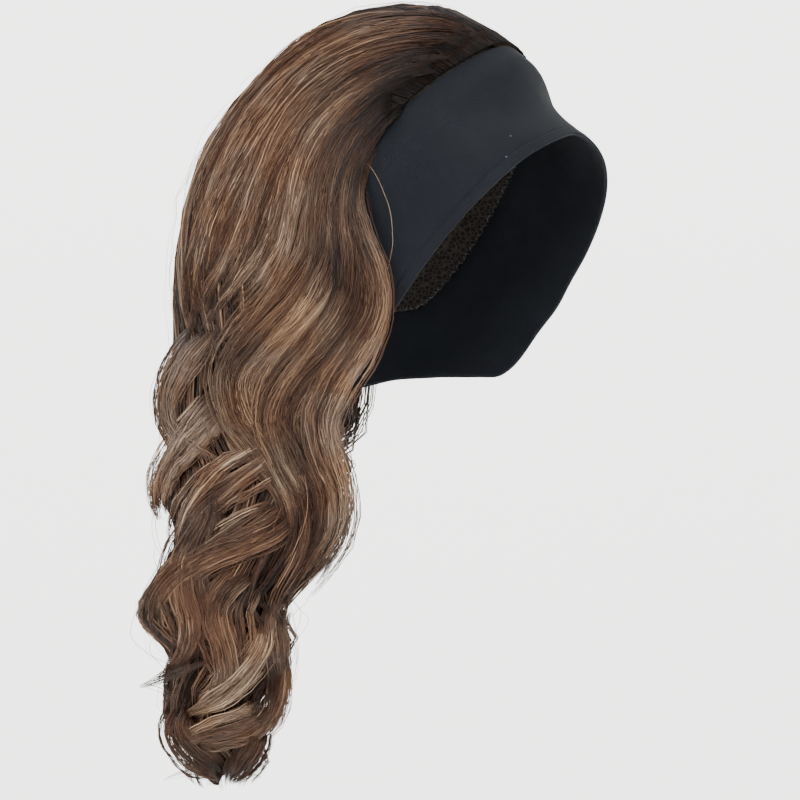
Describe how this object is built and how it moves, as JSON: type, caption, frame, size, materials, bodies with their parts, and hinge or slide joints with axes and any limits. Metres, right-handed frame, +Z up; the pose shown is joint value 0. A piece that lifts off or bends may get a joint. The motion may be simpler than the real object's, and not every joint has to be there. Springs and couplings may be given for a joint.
{
  "type": "half wig",
  "caption": "Half wig: long wavy brown hair with lighter strands on a net cap, worn behind a wide plain stretch headband.",
  "frame": {"origin": "the point inside the cap where the crown of the wearer's head bears on it, in the wig's middle plane", "axes": "+Z up as worn, -Y the way the wearer faces, +X the wearer's left"},
  "size_m": [0.1996, 0.2263, 0.3934],
  "materials": {
    "band_fabric": "matte black stretch knit with a turned edge",
    "cap_net": "dark brown elastic net with sewn weft rows",
    "hair": "glossy wavy fibre, mid brown with ash and golden strands and dark roots",
    "hair_under": "glossy wavy fibre, darker brown"
  },
  "bodies": {
    "root": {"headband": "band_fabric", "wig_cap": "cap_net", "crown_hair": "hair", "right_hair": "hair", "left_hair": "hair", "under_hair": "hair_under"}
  },
  "joints": []
}
